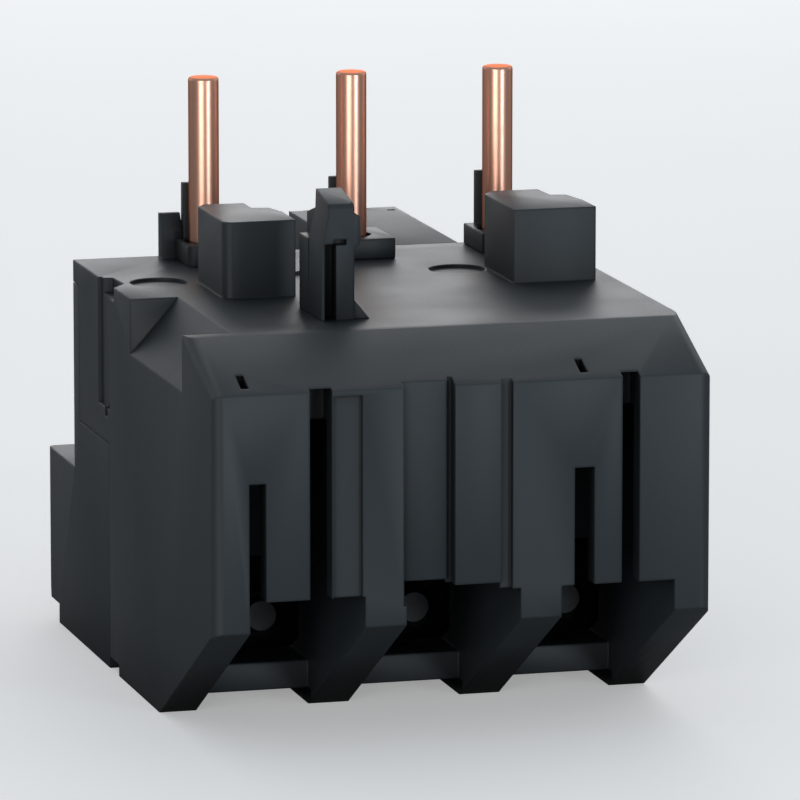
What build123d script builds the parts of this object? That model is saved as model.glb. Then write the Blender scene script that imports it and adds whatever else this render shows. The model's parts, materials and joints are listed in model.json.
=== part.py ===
"""Thermal overload relay, plug-in pattern, three poles.

The relay stands on its lower face. +Z is up, the pins point up, the front with the dial and the
buttons faces -Y, and the ribbed rear wall faces +Y. The origin is the centre of the outer size at
the bottom. Depths are measured forwards from the rear wall. All sizes are in millimetres.
"""
import math
import os

from build123d import *

os.makedirs("parts", exist_ok=True)

# Outer form: the deck's far edge and height carry most other places
width = 45.0
deck_height = 35.5
deck_depth = 52.4
hood_reach = 22.6
depth = deck_depth + hood_reach
rear_y = depth / 2
half_width = width / 2
wall = 1.5
deck_thickness = 2.0
fit_gap = 0.05
part_gap = 0.3

# Seam between the housings, and the inner stations along the depth
seam_depth = deck_depth - 13.9
seam_height = 20.9
seam_gap = 0.1
bimetal_depth = seam_depth - 5.5
strap_depth = bimetal_depth - 9.0
back_wall_depth = strap_depth - 3.0
floor_depth = back_wall_depth - 1.4
latch_depth = seam_depth - 0.5

# Poles, cable cells and their partitions
poles = 3
pole_pitch = 14.0
pole_x = [pole_pitch * (1 - i) for i in range(poles)]
cell_half = 5.15
cell_floor = 4.0
cell_roof = cell_floor + 9.7
floor_underside = 1.5
pocket_top = deck_height - 6.5
rear_wall = 2.0
tunnel_roof_thickness = 2.8
chamber_floor = cell_roof + tunnel_roof_thickness
chamber_half = half_width - wall
chamber_roof = deck_height - deck_thickness
partition_foot = 11.0
foot_step = 1.1
foot_step_length = 3.4

# Rear top strip and the corner recess beside the deck
strip_depth = 8.9
strip_drop = 3.6
recess_start = strip_depth + 1.7
recess_end = bimetal_depth - 3.1
recess_edge_x = half_width - 4.5
slope_foot = deck_height - 4.4

# Pins and guides
pin_radius = 1.4
pin_seat_radius = 1.75
pin_shift = -2.9
pin_depth = deck_depth - 4.1
pin_reach = 17.1
pin_top = deck_height + pin_reach
pin_foot = chamber_roof - 1.9
pin_x = [x + pin_shift for x in pole_x]
guide_height = 1.9
tongue_top = deck_height + 7.0
guide_reach = 3.4
guide_edge = 2.2
guide_back = 3.7
tongue_clear = 2.1
tongue_half = 1.5
screen_x = pin_x[0] + tongue_half
screen_depth = pin_depth + 2.1
screen_top = deck_height + 4.1

# Hook and locating blocks
hook_depth = strip_depth + 5.3
hook_x = 5.6
hook_width = 2.8
locator_depth = bimetal_depth - 5.3
locator_height = 6.9

# Front terminal block and shoulders
block_depth = deck_depth + 11.0
block_height = chamber_floor - 0.4
shoulder_wall = 2.4
front_wall = 3.4

# Control cover and its recessed face
control_half = 14.3
control_wall = 1.5
control_low_top = deck_height - 4.0
control_step_x = -3.8
bezel = 3.5
face_depth = depth - bezel
face_thickness = 1.5
face_back = face_depth - face_thickness
control_inner = control_half - control_wall
hollow_top = control_low_top - control_wall
recess_floor = block_height + 1.3
frame_thickness = 4.0
frame_depth = face_depth - 11.7
frame_front = frame_depth + frame_thickness

# Power terminals
terminal_z = (cell_floor + cell_roof) / 2 + 0.15
screw_radius = 1.95
strap_thickness = 1.2
strap_half = 4.0
clamp_thickness = 2.0
clamp_half = 4.8
clamp_travel = 5.0
clamp_back = strap_depth - part_gap - clamp_thickness
screw_head_radius = 3.5
screw_head_height = 2.6
screw_access_radius = 3.8

# Auxiliary terminals in the shoulders
aux_half = 2.65
aux_x = chamber_half - aux_half - 0.7
aux_pocket_half_height = (chamber_roof - chamber_floor - 3.8) / 4
aux_z = [chamber_floor + 0.6 + aux_pocket_half_height, chamber_roof - 2.6 - aux_pocket_half_height]
aux_back_depth = deck_depth - 5.7
aux_strap_thickness = 0.6
aux_strap_half_height = aux_pocket_half_height - 1.2
aux_screw_radius = aux_strap_half_height - 0.65
aux_washer_half = aux_pocket_half_height - 0.95
aux_head_radius = aux_washer_half - 0.05
aux_washer_thickness = 0.8
aux_head_height = 1.8
aux_run_x = control_inner - 0.8

# Trip mechanism
bimetal_width = 5.0
bimetal_thickness = 0.8
bar_thickness = 1.2
trip_bar_z = chamber_roof - 5.3
diff_bar_z = trip_bar_z - 1.9
bar_half_depth = 3.8
bar_ends = (-19.8, 17.6)
ledge_start = 16.9
bimetal_top = trip_bar_z + 2.3
heater_bottom = chamber_floor + 2.5
heater_turns = 5
heater_wire = 0.8
heater_pitch = (diff_bar_z - 0.9 - heater_wire - heater_bottom) / (heater_turns - 1)
heater_half_x = 1.6
heater_half_d = 2.9
strap_drop_depth = bimetal_depth + 5.0
lever_x = 5.5
lever_depth = bimetal_depth + 12.0
contact_depth = frame_depth - 1.1
blade_depth = contact_depth - 1.7
blade_thickness = 0.4
rocker_depth = blade_depth + 0.5
rocker_foot = recess_floor + 2.4
rocker_height = 2.6
contact_x = 6.5
contact_z = rocker_foot + 1.4
pivot_radius = 0.75

# Dial, buttons and flag, seen from the front
dial_x = -7.6
dial_z = recess_floor + 7.2
dial_radius = 4.6
dial_shaft_radius = 2.0
dial_front = face_depth + 1.5
cam_base = 3.0
cam_rise = 1.5
cam_sweep = 300.0
cam_depth = face_depth - 5.0
cam_thickness = 2.0
adjust_x = -0.6
adjust_z = recess_floor + 1.8
reset_x = 2.2
button_z = recess_floor + 7.8
button_front = face_depth + 2.2
collar_back = face_depth - 3.5
stop_x = 9.2
reset_radius = 2.65
stop_half = 2.3
test_radius = 1.05
hinge_radius = 0.6
reset_stem_radius = 1.2
stop_stem_radius = 0.9
test_stem_radius = 0.8
press = 2.0
test_z = recess_floor + 2.8
flag_z = recess_floor + 2.6
cover_hinge_depth = depth - 1.0
cover_hinge_z = hollow_top - 1.2
cover_half = control_inner - part_gap
cover_foot = recess_floor + part_gap


def y_at(depth_from_rear):
    """Return the y of a depth measured forwards from the rear wall."""
    return rear_y - depth_from_rear


def block(x0, x1, d0, d1, z0, z1, mode=Mode.ADD):
    """Add or cut a straight block between two x, two depths and two heights."""
    with Locations(((x0 + x1) / 2, y_at((d0 + d1) / 2), (z0 + z1) / 2)):
        Box(abs(x1 - x0), abs(d1 - d0), abs(z1 - z0), mode=mode)


def side_outline(points):
    """Make a face from (depth, height) points, on a side plane."""
    with BuildLine() as outline:
        Polyline([(y_at(d), z) for d, z in points], close=True)
    make_face(outline.edges())


def plan_outline(points):
    """Make a face from (x, depth) points, on a level plane."""
    with BuildLine() as outline:
        Polyline([(x, y_at(d)) for x, d in points], close=True)
    make_face(outline.edges())


def upright_rod(x, depth_from_rear, z0, z1, radius, mode=Mode.ADD):
    """Add or cut a vertical cylinder."""
    with Locations((x, y_at(depth_from_rear), (z0 + z1) / 2)):
        Cylinder(radius, abs(z1 - z0), mode=mode)


def lying_rod(x, d0, d1, z, radius, mode=Mode.ADD):
    """Add or cut a cylinder that runs along the relay's depth."""
    with Locations((x, y_at((d0 + d1) / 2), z)):
        Cylinder(radius, abs(d1 - d0), rotation=(90, 0, 0), mode=mode)


def save(builder, name):
    """Label a finished piece and write its file."""
    builder.part.label = name
    export_step(builder.part, f"parts/{name}.step")


# Main housing: side outline, hollow chamber, cable cells, ribbed rear wall and deck details
with BuildPart() as main_housing:
    with BuildSketch(Plane.YZ):
        side_outline([
            (0, partition_foot),
            (0, deck_height - strip_drop),
            (strip_depth, deck_height),
            (deck_depth, deck_height),
            (deck_depth, chamber_roof),
            (deck_depth - shoulder_wall, chamber_roof),
            (deck_depth - shoulder_wall, seam_height),
            (seam_depth, seam_height),
            (seam_depth, foot_step),
            (seam_depth - foot_step_length, foot_step),
            (seam_depth - foot_step_length, 0),
            (floor_depth, 0),
        ])
    extrude(amount=half_width, both=True)
    rear_corners = main_housing.edges().filter_by(lambda e: abs(abs(e.center().X) - half_width) < 0.01
                                                  and e.center().Y > y_at(floor_depth)
                                                  and e.center().Z > 1.0
                                                  and e.length < 22
                                                  and abs((e % 0.5).X) < 0.01)
    fillet(rear_corners, 1.0)

    # Chamber for the bimetals, open to the front housing
    block(-chamber_half, chamber_half, back_wall_depth, deck_depth, chamber_floor, chamber_roof, Mode.SUBTRACT)

    # Cable cells: open at the rear and at the bottom, then a tunnel over the raised floor
    for x in pole_x:
        with BuildSketch(Plane.YZ.offset(x)):
            side_outline([
                (rear_wall, -1), (rear_wall, pocket_top), (floor_depth, pocket_top), (floor_depth, cell_roof),
                (seam_depth + 1, cell_roof), (seam_depth + 1, cell_floor), (floor_depth, cell_floor),
                (floor_depth, -1),
            ])
        extrude(amount=cell_half, both=True, mode=Mode.SUBTRACT)
        block(x - cell_half, x + cell_half, -1, rear_wall + 1, -1, cell_roof, Mode.SUBTRACT)
        # The floor stands back between the partition feet, with one sloped flank
        with BuildSketch(Plane.XZ.offset(-y_at(floor_depth - 1))):
            with BuildLine():
                Polyline([(x - cell_half, -1), (x - cell_half, 0.5), (x - cell_half - 1.1, floor_underside),
                          (x + cell_half, floor_underside), (x + cell_half, -1)], close=True)
            make_face()
        extrude(amount=seam_depth - foot_step_length - floor_depth + 1, mode=Mode.SUBTRACT)

    # Sloped roof of the chamber under the corner recess
    with BuildSketch(Plane.XZ.offset(-y_at(back_wall_depth))):
        with BuildLine():
            Polyline([(recess_edge_x - 1.6, chamber_roof), (chamber_half, chamber_roof),
                      (chamber_half, slope_foot - 1.8)], close=True)
        make_face()
    extrude(amount=recess_end - back_wall_depth + wall)

    # Slots and ribs of the rear wall: centre x, width, top and depth of each cut
    rear_cuts = [
        (18.45, 1.5, 24.1, 3.0),
        (12.8, 2.0, 32.1, 3.0),
        (10.4, 2.6, 31.4, 0.45),
        (3.35, 4.1, 33.0, 0.9),
        (1.05, 0.5, 32.4, 1.4),
        (-3.9, 1.0, 32.6, 0.6),
        (-10.9, 1.8, 24.1, 3.0),
        (-15.1, 1.6, 32.2, 3.0),
    ]
    cut_foot = cell_roof - 1
    for cut_x, cut_width, cut_top, cut_depth in rear_cuts:
        with BuildSketch(Plane.XZ.offset(-rear_y)):
            with Locations((cut_x, (cut_foot + cut_top) / 2)):
                Rectangle(cut_width, cut_top - cut_foot)
        extrude(amount=cut_depth, mode=Mode.SUBTRACT)

    # The lower edge of the rear wall rises in two steps at the middle cell
    block(1.3, 5.4, -1, rear_wall + 0.1, cell_roof - 1, cell_roof + 1.0, Mode.SUBTRACT)
    block(-3.4, 1.3, -1, rear_wall + 0.1, cell_roof - 1, cell_roof + 0.6, Mode.SUBTRACT)

    # Two short marking grooves in the sloped strip
    for mark_x in (19.3, -11.1):
        block(mark_x - 0.35, mark_x + 0.35, 1.0, 3.6, deck_height - strip_drop, deck_height - 2.4, Mode.SUBTRACT)

    # V-shaped corner recess beside the deck
    with BuildSketch(Plane.XZ.offset(-y_at(recess_start))):
        with BuildLine():
            Polyline([(recess_edge_x, deck_height + 0.1), (half_width + 0.1, slope_foot - 0.7),
                      (half_width + 0.1, deck_height + 0.1)], close=True)
        make_face()
    extrude(amount=recess_end - recess_start, mode=Mode.SUBTRACT)

    # Latch channel on each side and the notch over the left one
    for side in (1, -1):
        block(side * (half_width - 0.35), side * (half_width + 1), latch_depth, latch_depth + 4.4, seam_height + 3.1,
              deck_height + 1, Mode.SUBTRACT)
        block(side * (half_width - 0.5), side * (half_width + 1), latch_depth + 0.9, latch_depth + 1.9,
              seam_height + 2.3, seam_height + 3.3, Mode.SUBTRACT)
    with BuildSketch(Plane.XY.offset(deck_height)):
        plan_outline([(half_width + 0.1, latch_depth - 2.0), (half_width - 1.4, latch_depth + 0.1),
                      (half_width - 1.2, latch_depth + 3.6), (half_width + 0.1, latch_depth + 3.8)])
    extrude(amount=-1.3, mode=Mode.SUBTRACT)

    # Shallow round recesses along the deck
    for x in pole_x:
        with Locations((x + 3.9, y_at(latch_depth), deck_height)):
            Cylinder(2.6, 0.6, mode=Mode.SUBTRACT)

    # Locating blocks on the deck
    with BuildSketch(Plane.XY.offset(deck_height)):
        rear = locator_depth
        plan_outline([(14.4, rear), (14.4, rear + 9.5), (13.6, rear + 10.7), (9.9, rear + 10.5), (9.9, rear + 7.7),
                      (8.4, rear + 7.3), (7.8, rear + 4.9), (7.8, rear)])
    left_block = extrude(amount=locator_height)
    fillet(left_block.edges().filter_by(Axis.Z).group_by(Axis.Y)[-1].sort_by(Axis.X)[-1], 0.9)
    with BuildSketch(Plane.XY.offset(deck_height)):
        rear = locator_depth + 1.3
        plan_outline([(-12.9, rear), (-12.9, rear + 9.6), (-14.0, rear + 11.2), (-18.4, rear + 11.2),
                      (-18.6, rear + 7.8), (-20.0, rear + 7.4), (-20.6, rear + 4.0), (-20.6, rear)])
    extrude(amount=locator_height - 0.2)

    # Raised screen behind the first pin, with a sloped top
    with BuildSketch(Plane.YZ.offset(screen_x)):
        side_outline([(screen_depth, deck_height - 0.5), (screen_depth, screen_top - 1.5),
                      (screen_depth + 1.1, screen_top), (screen_depth + 1.7, screen_top),
                      (screen_depth + 1.7, deck_height - 0.5)])
    extrude(amount=1.9)

    # Seats of the pins, guides, hook, outlet straps, lever pin and bar ledges
    for x in pin_x:
        upright_rod(x, pin_depth, chamber_roof - 1, deck_height + 1, pin_seat_radius + fit_gap, Mode.SUBTRACT)
    block(hook_x + 0.3, hook_x + 2.4, hook_depth + 1.7, hook_depth + 6.4, deck_height - 1.6, deck_height + 1,
          Mode.SUBTRACT)
    for x in pole_x:
        block(x - strap_half - 0.1, x + strap_half + 0.1, strap_depth - fit_gap, strap_depth + strap_thickness + fit_gap,
              cell_roof - 1, chamber_floor + 1, Mode.SUBTRACT)
    upright_rod(lever_x, lever_depth, chamber_roof - 0.01, chamber_roof + 1.0, pivot_radius + fit_gap, Mode.SUBTRACT)
    for side in (1, -1):
        block(side * ledge_start, side * (chamber_half + 0.1), bimetal_depth - bar_half_depth - 0.2,
              bimetal_depth + bar_half_depth + 0.2, diff_bar_z - 1.4, diff_bar_z - 0.2)
save(main_housing, "main_housing")

# Front housing: stepped terminal block, side cheeks and the shoulders with their terminal pockets
with BuildPart() as front_housing:
    with BuildSketch(Plane.YZ):
        side_outline([
            (seam_depth + seam_gap, 0),
            (block_depth - 4.2, 0),
            (block_depth - 4.2, 1.8),
            (block_depth - 0.9, 1.8),
            (block_depth, 6.0),
            (block_depth, block_height),
            (deck_depth, block_height),
            (deck_depth, chamber_roof - seam_gap),
            (deck_depth - shoulder_wall + seam_gap, chamber_roof - seam_gap),
            (deck_depth - shoulder_wall + seam_gap, seam_height - seam_gap),
            (seam_depth + seam_gap, seam_height - seam_gap),
        ])
    extrude(amount=half_width, both=True)
    front_corners = front_housing.edges().filter_by(Axis.Z).filter_by(
        lambda e: abs(e.center().Y - y_at(block_depth)) < 0.01)
    fillet(front_corners, 0.8)
    # Hollow behind the shoulders, and the wide window for the mechanism
    block(-chamber_half, chamber_half, seam_depth - 1, deck_depth - shoulder_wall + seam_gap,
          chamber_floor, chamber_roof, Mode.SUBTRACT)
    block(-control_inner, control_inner, aux_back_depth - 1.7, deck_depth + 1, chamber_floor + 1.1, chamber_roof,
          Mode.SUBTRACT)
    # Screwdriver tunnels
    for x in pole_x:
        block(x - cell_half, x + cell_half, seam_depth - 1, block_depth - front_wall, cell_floor, cell_roof,
              Mode.SUBTRACT)
        lying_rod(x, block_depth - front_wall - 1, block_depth + 1, terminal_z, screw_access_radius, Mode.SUBTRACT)
    # Auxiliary terminal pockets
    for side in (1, -1):
        tub_x = sorted((side * (aux_x - aux_half - 0.6), side * (chamber_half - 0.1)))
        block(tub_x[0], tub_x[1], aux_back_depth - 1.7, deck_depth - 1, chamber_floor,
              aux_z[1] + aux_pocket_half_height + 0.6)
        for z in aux_z:
            x = side * aux_x
            block(x - aux_half, x + aux_half, aux_back_depth, deck_depth + 1, z - aux_pocket_half_height,
                  z + aux_pocket_half_height, Mode.SUBTRACT)
            inner = sorted((side * (aux_x - aux_half - 1), side * aux_x))
            block(inner[0], inner[1], aux_back_depth, aux_back_depth + aux_strap_thickness + fit_gap,
                  z - aux_strap_half_height - fit_gap, z + aux_strap_half_height + fit_gap, Mode.SUBTRACT)
            lying_rod(x, aux_back_depth - 2.7, aux_back_depth + 1, z, aux_screw_radius + part_gap, Mode.SUBTRACT)
save(front_housing, "front_housing")

# Control cover: stepped hood with a recessed face and the holes for dial, buttons and flag
with BuildPart() as control_cover:
    hood = [(-control_half, block_height + seam_gap), (-control_half, deck_height),
            (control_step_x, deck_height), (control_step_x, control_low_top),
            (control_half, control_low_top), (control_half, block_height + seam_gap)]
    with BuildSketch(Plane.XZ.offset(-y_at(deck_depth + seam_gap))):
        with BuildLine():
            Polyline(hood, close=True)
        make_face()
    extrude(amount=depth - deck_depth - seam_gap)
    front_edges = control_cover.edges().filter_by(lambda e: abs(e.center().Y - y_at(depth)) < 0.01)
    chamfer(front_edges, 0.4)
    block(-control_inner, control_inner, deck_depth - 1, face_back, recess_floor + 0.2, hollow_top, Mode.SUBTRACT)
    block(-control_inner, control_step_x - control_wall, deck_depth - 1, face_back, recess_floor + 0.2,
          deck_height - control_wall, Mode.SUBTRACT)
    block(-control_inner, control_inner, face_depth, depth + 1, recess_floor, hollow_top, Mode.SUBTRACT)
    lying_rod(dial_x, face_back - 1, face_depth + 1, dial_z, dial_shaft_radius + fit_gap, Mode.SUBTRACT)
    lying_rod(reset_x, face_back - 1, face_depth + 1, button_z, reset_radius + 0.1, Mode.SUBTRACT)
    lying_rod(stop_x, face_back - 1, face_depth + 1, test_z, test_radius + 0.1, Mode.SUBTRACT)
    hole = stop_half + 0.1
    block(stop_x - hole, stop_x + hole, face_back - 1, face_depth + 1, button_z - hole, button_z + hole,
          Mode.SUBTRACT)
    block(reset_x - 0.4, reset_x + 2.0, face_back - 1, face_depth + 1, flag_z - 0.7, flag_z + 0.7, Mode.SUBTRACT)
    with Locations((0, y_at(cover_hinge_depth), cover_hinge_z)):
        Cylinder(hinge_radius + fit_gap, 2 * control_half + 1, rotation=(0, 90, 0), mode=Mode.SUBTRACT)
    # Two small notches in the top of the hood
    block(control_step_x - 1.4, control_step_x - 0.1, depth - 0.6, depth + 1, deck_height - 0.6, deck_height + 1,
          Mode.SUBTRACT)
    block(-control_half + 0.5, -control_half + 1.3, depth - 2.6, depth - 2.1, deck_height - 0.5, deck_height + 1,
          Mode.SUBTRACT)
save(control_cover, "control_cover")

# Sealing cover: clear plate on a barrel with end stubs, and openings over the two buttons
with BuildPart() as sealing_cover:
    with BuildSketch(Plane.YZ):
        side_outline([(cover_hinge_depth, cover_foot), (depth, cover_foot), (depth, cover_hinge_z),
                      (cover_hinge_depth, cover_hinge_z)])
    extrude(amount=cover_half, both=True)
    with Locations((0, y_at(cover_hinge_depth), cover_hinge_z)):
        Cylinder(1.0, 2 * cover_half, rotation=(0, 90, 0))
        Cylinder(hinge_radius, 2 * control_half - 0.2, rotation=(0, 90, 0))
    for side in (1, -1):
        rim = sorted((side * cover_half, side * (cover_half - 0.9)))
        block(rim[0], rim[1], cover_hinge_depth - 0.8, cover_hinge_depth, cover_foot, cover_hinge_z)
    block(-cover_half, cover_half, cover_hinge_depth - 0.8, cover_hinge_depth, cover_foot, cover_foot + 0.9)
    lying_rod(reset_x, cover_hinge_depth - 2, depth + 1, button_z, reset_radius + part_gap, Mode.SUBTRACT)
    window = stop_half + part_gap
    block(stop_x - window, stop_x + window, cover_hinge_depth - 2, depth + 1, button_z - window, button_z + window,
          Mode.SUBTRACT)
save(sealing_cover, "sealing_cover")

# Mounting hook: upright latch with a barbed head, a slot in its rear face and a gusset foot
with BuildPart() as mounting_hook:
    foot = hook_depth
    head = deck_height + 10.3
    with BuildSketch(Plane.YZ.offset(hook_x + 0.4)):
        side_outline([(foot, deck_height), (foot, head - 0.4), (foot + 0.3, head), (foot + 4.5, head + 0.8),
                      (foot + 4.7, head - 0.9), (foot + 7.6, head - 1.7), (foot + 7.6, deck_height)])
    extrude(amount=hook_width - 0.5)
    with BuildSketch(Plane.XZ.offset(-y_at(foot))):
        with BuildLine():
            Polyline([(hook_x + 2.6, deck_height), (hook_x + 3.4, deck_height), (hook_x + 3.3, head - 3.6),
                      (hook_x + 2.7, head - 0.9), (hook_x + 2.6, head - 0.9)], close=True)
        make_face()
    extrude(amount=4.7)
    block(hook_x + 2.6, hook_x + 3.4, foot + 4.6, foot + 7.6, deck_height, head - 3.6)
    # Bulge on the other flank and the flare behind it
    with BuildSketch(Plane.XZ.offset(-y_at(foot))):
        with BuildLine():
            Polyline([(hook_x + 0.5, head - 4.1), (hook_x + 0.5, head - 0.7), (hook_x - 0.1, head - 1.1),
                      (hook_x - 0.1, head - 3.6)], close=True)
        make_face()
    extrude(amount=4.7)
    with BuildSketch(Plane.XY.offset(head - 1.2)):
        plan_outline([(hook_x + 0.5, foot + 0.5), (hook_x - 0.2, foot + 4.5), (hook_x + 0.5, foot + 4.5)])
    extrude(amount=1.3)
    block(hook_x + 2.05, hook_x + 3.1, foot - 1, foot + 1.6, deck_height, head - 3.5, Mode.SUBTRACT)
    block(hook_x + 1.1, hook_x + 2.3, foot - 1, foot + 0.8, head - 3.6, head - 3.1, Mode.SUBTRACT)
    with BuildSketch(Plane.XZ.offset(-y_at(foot + 0.4))):
        with BuildLine():
            Polyline([(hook_x + 0.5, deck_height), (hook_x + 0.5, deck_height + 1.7),
                      (hook_x + 0.3, deck_height + 1.7), (hook_x - 1.1, deck_height)], close=True)
        make_face()
    extrude(amount=0.9)
    block(hook_x + 0.4, hook_x + 2.3, foot + 1.8, foot + 6.3, deck_height - 1.5, deck_height)
save(mounting_hook, "mounting_hook")

# Pins and their guides
for i, x in enumerate(pin_x):
    with BuildPart() as pin:
        upright_rod(x, pin_depth, pin_foot, deck_height + guide_height, pin_seat_radius)
        upright_rod(x, pin_depth, deck_height + guide_height, pin_top, pin_radius)
    save(pin, f"pin_{i + 1}")

    with BuildPart() as pin_guide:
        with BuildSketch(Plane.XY.offset(deck_height)):
            near = pin_depth - 3.1
            far = pin_depth + guide_back
            edge = x + guide_edge
            reach = x - guide_reach
            if i == 0:
                step = screen_depth - fit_gap
                inner = screen_x - fit_gap
                plan_outline([(edge, near + 0.4), (edge, step), (inner, step), (inner, far), (reach, far),
                              (reach, near), (edge - 0.4, near)])
            else:
                plan_outline([(edge, near + 0.4), (edge, far), (reach, far), (reach, near), (edge - 0.4, near)])
        extrude(amount=guide_height)
        block(x - tongue_half, x + tongue_half - fit_gap, pin_depth + tongue_clear, pin_depth + 2.95,
              deck_height + guide_height, tongue_top)
        upright_rod(x, pin_depth, deck_height - 1, deck_height + guide_height + 1, pin_seat_radius + fit_gap,
                    Mode.SUBTRACT)
    save(pin_guide, f"pin_guide_{i + 1}")

# Current path of each pole: inlet strap, heater, bimetal, outlet strap
for i, x in enumerate(pole_x):
    with BuildPart() as inlet_strap:
        foot = pin_x[i]
        with BuildSketch(Plane.XY.offset(pin_foot + 0.4)):
            plan_outline([(x - 1.5, strap_drop_depth), (x + 1.5, strap_drop_depth), (x + 1.5, pin_depth - 6.3),
                          (foot + 2.1, pin_depth - 2.3), (foot + 2.1, pin_depth + 0.7),
                          (foot - 2.1, pin_depth + 0.7), (foot - 2.1, pin_depth - 3.3),
                          (x - 1.5, pin_depth - 7.3)])
        extrude(amount=1.0)
        block(x - 1.5, x + 1.5, strap_drop_depth, strap_drop_depth + 1.0, diff_bar_z - 2.3, pin_foot + 1.0)
        upright_rod(foot, pin_depth, pin_foot - 1, pin_foot + 2, pin_seat_radius + fit_gap, Mode.SUBTRACT)
    save(inlet_strap, f"inlet_strap_{i + 1}")

    with BuildPart() as heater:
        outer_x = heater_half_x + heater_wire
        outer_d = heater_half_d + heater_wire
        for turn in range(heater_turns):
            z = heater_bottom + turn * heater_pitch
            block(x - outer_x, x + outer_x, bimetal_depth - outer_d, bimetal_depth + outer_d, z, z + heater_wire)
        for turn in range(heater_turns - 1):
            z = heater_bottom + turn * heater_pitch + heater_wire
            riser = 1 if turn % 2 else -1
            block(x + riser * heater_half_x, x + riser * outer_x, bimetal_depth - 0.8, bimetal_depth + 0.8, z,
                  z + heater_pitch - heater_wire)
        block(x - heater_half_x, x + heater_half_x, bimetal_depth - heater_half_d, bimetal_depth + heater_half_d,
              heater_bottom - 1, chamber_roof, Mode.SUBTRACT)
        last_z = heater_bottom + (heater_turns - 1) * heater_pitch
        block(x - 0.8, x + 0.8, bimetal_depth + heater_half_d, strap_drop_depth, last_z, last_z + heater_wire)
        block(x - 0.8, x + 0.8, bimetal_depth - outer_d, bimetal_depth - heater_half_d, chamber_floor + 1.0,
              heater_bottom)
    save(heater, f"heater_{i + 1}")

    with BuildPart() as bimetal:
        with BuildSketch(Plane.YZ.offset(x - bimetal_thickness / 2)):
            half = bimetal_width / 2
            side_outline([(bimetal_depth - half, chamber_floor + 1.3), (bimetal_depth - half, bimetal_top - 0.9),
                          (bimetal_depth - half + 0.9, bimetal_top), (bimetal_depth + half - 0.9, bimetal_top),
                          (bimetal_depth + half, bimetal_top - 0.9), (bimetal_depth + half, chamber_floor + 1.3)])
        extrude(amount=bimetal_thickness)
    save(bimetal, f"bimetal_{i + 1}")

    with BuildPart() as outlet_strap:
        with BuildSketch(Plane.YZ):
            side_outline([(strap_depth, cell_floor + 1.4), (strap_depth, chamber_floor + 1.0),
                          (bimetal_depth + 3.6, chamber_floor + 1.0), (bimetal_depth + 3.6, chamber_floor),
                          (strap_depth + strap_thickness, chamber_floor),
                          (strap_depth + strap_thickness, cell_floor + 1.4)])
        extrude(amount=strap_half, both=True)
        for side in (-1, 1):
            block(side * 2.6, side * 5, strap_depth + 3, strap_drop_depth + 2, cell_roof, chamber_floor + 2,
                  Mode.SUBTRACT)
        lying_rod(0, strap_depth - 1, strap_depth + 3, terminal_z, screw_radius + fit_gap, Mode.SUBTRACT)
    outlet_strap.part.locate(Location((x, 0, 0)))
    save(outlet_strap, f"outlet_strap_{i + 1}")

    with BuildPart() as terminal_clamp:
        with BuildSketch(Plane.XZ.offset(-y_at(clamp_back))):
            with Locations((x, terminal_z)):
                Rectangle(2 * clamp_half, 8.2)
                Circle(screw_radius + fit_gap, mode=Mode.SUBTRACT)
        extrude(amount=clamp_thickness)
        chamfer(terminal_clamp.edges().filter_by(Axis.Y), 0.7)
        for groove in (-2.9, 2.9):
            block(x - clamp_half - 1, x + clamp_half + 1, strap_depth - part_gap - 0.3, strap_depth,
                  terminal_z + groove - 0.3, terminal_z + groove + 0.3, Mode.SUBTRACT)
    save(terminal_clamp, f"terminal_clamp_{i + 1}")

    with BuildPart() as terminal_screw:
        seat = strap_depth + strap_thickness + 0.05
        lying_rod(x, clamp_back - clamp_travel - 0.5, seat, terminal_z, screw_radius)
        lying_rod(x, seat, seat + screw_head_height, terminal_z, screw_head_radius)
        slot = screw_head_radius - 1.1
        block(x - 0.5, x + 0.5, seat + 1.0, seat + 3.0, terminal_z - slot, terminal_z + slot, Mode.SUBTRACT)
        block(x - slot, x + slot, seat + 1.0, seat + 3.0, terminal_z - 0.5, terminal_z + 0.5, Mode.SUBTRACT)
    save(terminal_screw, f"terminal_screw_{i + 1}")

# Trip bar and differential bar, with a window for each bimetal
window_half_d = bimetal_width / 2 + part_gap
for name, z, push_gap, free_gap in (("trip_bar", trip_bar_z, part_gap, 1.6), ("differential_bar", diff_bar_z, 1.6, 0.5)):
    with BuildPart() as bar:
        with BuildSketch(Plane.XY.offset(z)):
            near = bimetal_depth - bar_half_depth
            far = bimetal_depth + bar_half_depth
            plan_outline([(bar_ends[0], near), (bar_ends[1], near), (bar_ends[1], far), (bar_ends[0], far)])
            for x in pole_x:
                left = x - bimetal_thickness / 2 - free_gap
                right = x + bimetal_thickness / 2 + push_gap
                with Locations(((left + right) / 2, y_at(bimetal_depth))):
                    Rectangle(right - left, 2 * window_half_d, mode=Mode.SUBTRACT)
            for notch_x in (-7.0, 7.0):
                with Locations((notch_x, y_at(bimetal_depth))):
                    Rectangle(6.0, 4.0, mode=Mode.SUBTRACT)
        extrude(amount=bar_thickness)
        if name == "trip_bar":
            block(lever_x - 2.2, lever_x - 0.9, far - 0.8, lever_depth - 6.8, z, z + bar_thickness)
    save(bar, name)

# Trip lever on its pin, with the compensating strip on its front arm
with BuildPart() as lever_pin:
    upright_rod(lever_x, lever_depth, trip_bar_z - 4.0, chamber_roof + 0.95, pivot_radius)
save(lever_pin, "lever_pin")

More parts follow.
